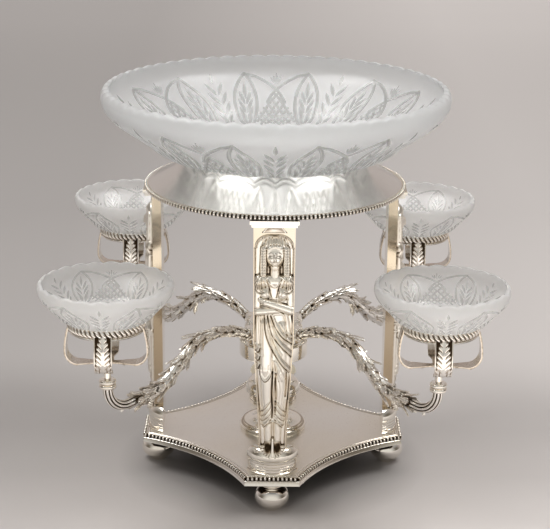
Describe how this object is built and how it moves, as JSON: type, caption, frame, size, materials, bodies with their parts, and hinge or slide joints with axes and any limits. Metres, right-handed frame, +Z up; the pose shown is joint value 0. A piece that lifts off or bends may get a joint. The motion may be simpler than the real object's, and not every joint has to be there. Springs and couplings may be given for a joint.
{
  "type": "table epergne",
  "caption": "Silver-plated table centrepiece: figure columns on a concave-sided base carry a large cut-glass dish, and leafy branches carry small dishes in strap holders.",
  "frame": {"origin": "bottom centre, on the table between the feet", "axes": "+Z up; the columns stand on X and Y, the branches lie on the diagonals, the front column is at -Y"},
  "size_m": [0.4194, 0.4194, 0.3809],
  "materials": {
    "silver_polished": "polished silver plate",
    "silver_relief": "polished silver plate with dark oxide in the recesses",
    "silver_trim": "polished silver plate, beaded",
    "inner_steel": "plain steel",
    "cut_glass": "frosted glass with polished cuts"
  },
  "bodies": {
    "stand": {"base_plate": "silver_polished", "base_border": "silver_trim", "stand_flange": "silver_polished", "bowl_stand": "silver_polished", "stand_border": "silver_trim", "pedestal": "silver_polished", "stem": "silver_polished", "hub": "silver_polished", "hub_cap": "silver_polished", "tie_rod": "inner_steel", "tie_nut": "inner_steel", "foot_front": "silver_polished", "foot_right": "silver_polished", "foot_back": "silver_polished", "foot_left": "silver_polished", "socle_front": "silver_polished", "socle_right": "silver_polished", "socle_back": "silver_polished", "socle_left": "silver_polished", "pilaster_front": "silver_polished", "pilaster_right": "silver_polished", "pilaster_back": "silver_polished", "pilaster_left": "silver_polished", "figure_front": "silver_relief", "figure_right": "silver_relief", "figure_back": "silver_relief", "figure_left": "silver_relief", "capital_front": "silver_polished", "capital_right": "silver_polished", "capital_back": "silver_polished", "capital_left": "silver_polished"},
    "centre_dish": {"large_dish": "cut_glass"},
    "branch_front_right": {"branch_front_right": "silver_relief", "elbow_front_right": "silver_trim", "nozzle_front_right": "silver_polished"},
    "holder_front_right": {"post_front_right": "silver_polished", "straps_front_right": "silver_relief", "ring_front_right": "silver_trim"},
    "dish_front_right": {"small_dish_front_right": "cut_glass"},
    "branch_back_right": {"branch_back_right": "silver_relief", "elbow_back_right": "silver_trim", "nozzle_back_right": "silver_polished"},
    "holder_back_right": {"post_back_right": "silver_polished", "straps_back_right": "silver_relief", "ring_back_right": "silver_trim"},
    "dish_back_right": {"small_dish_back_right": "cut_glass"},
    "branch_back_left": {"branch_back_left": "silver_relief", "elbow_back_left": "silver_trim", "nozzle_back_left": "silver_polished"},
    "holder_back_left": {"post_back_left": "silver_polished", "straps_back_left": "silver_relief", "ring_back_left": "silver_trim"},
    "dish_back_left": {"small_dish_back_left": "cut_glass"},
    "branch_front_left": {"branch_front_left": "silver_relief", "elbow_front_left": "silver_trim", "nozzle_front_left": "silver_polished"},
    "holder_front_left": {"post_front_left": "silver_polished", "straps_front_left": "silver_relief", "ring_front_left": "silver_trim"},
    "dish_front_left": {"small_dish_front_left": "cut_glass"}
  },
  "joints": [
    {"name": "centre_dish_lift", "type": "slide", "parent": "stand", "child": "centre_dish", "axis": [0, 0, 1], "range_m": [0, 0.06]},
    {"name": "branch_draw_front_right", "type": "slide", "parent": "stand", "child": "branch_front_right", "axis": [0.7071, -0.7071, 0], "range_m": [0, 0.025]},
    {"name": "holder_turn_front_right", "type": "hinge", "parent": "branch_front_right", "child": "holder_front_right", "pos_m": [0.1492, -0.1492, 0.142], "axis": [0, 0, 1], "continuous": true},
    {"name": "dish_lift_front_right", "type": "slide", "parent": "holder_front_right", "child": "dish_front_right", "axis": [0, 0, 1], "range_m": [0, 0.04]},
    {"name": "branch_draw_back_right", "type": "slide", "parent": "stand", "child": "branch_back_right", "axis": [0.7071, 0.7071, 0], "range_m": [0, 0.025]},
    {"name": "holder_turn_back_right", "type": "hinge", "parent": "branch_back_right", "child": "holder_back_right", "pos_m": [0.1492, 0.1492, 0.142], "axis": [0, 0, 1], "continuous": true},
    {"name": "dish_lift_back_right", "type": "slide", "parent": "holder_back_right", "child": "dish_back_right", "axis": [0, 0, 1], "range_m": [0, 0.04]},
    {"name": "branch_draw_back_left", "type": "slide", "parent": "stand", "child": "branch_back_left", "axis": [-0.7071, 0.7071, 0], "range_m": [0, 0.025]},
    {"name": "holder_turn_back_left", "type": "hinge", "parent": "branch_back_left", "child": "holder_back_left", "pos_m": [-0.1492, 0.1492, 0.142], "axis": [0, 0, 1], "continuous": true},
    {"name": "dish_lift_back_left", "type": "slide", "parent": "holder_back_left", "child": "dish_back_left", "axis": [0, 0, 1], "range_m": [0, 0.04]},
    {"name": "branch_draw_front_left", "type": "slide", "parent": "stand", "child": "branch_front_left", "axis": [-0.7071, -0.7071, 0], "range_m": [0, 0.025]},
    {"name": "holder_turn_front_left", "type": "hinge", "parent": "branch_front_left", "child": "holder_front_left", "pos_m": [-0.1492, -0.1492, 0.142], "axis": [0, 0, 1], "continuous": true},
    {"name": "dish_lift_front_left", "type": "slide", "parent": "holder_front_left", "child": "dish_front_left", "axis": [0, 0, 1], "range_m": [0, 0.04]}
  ]
}
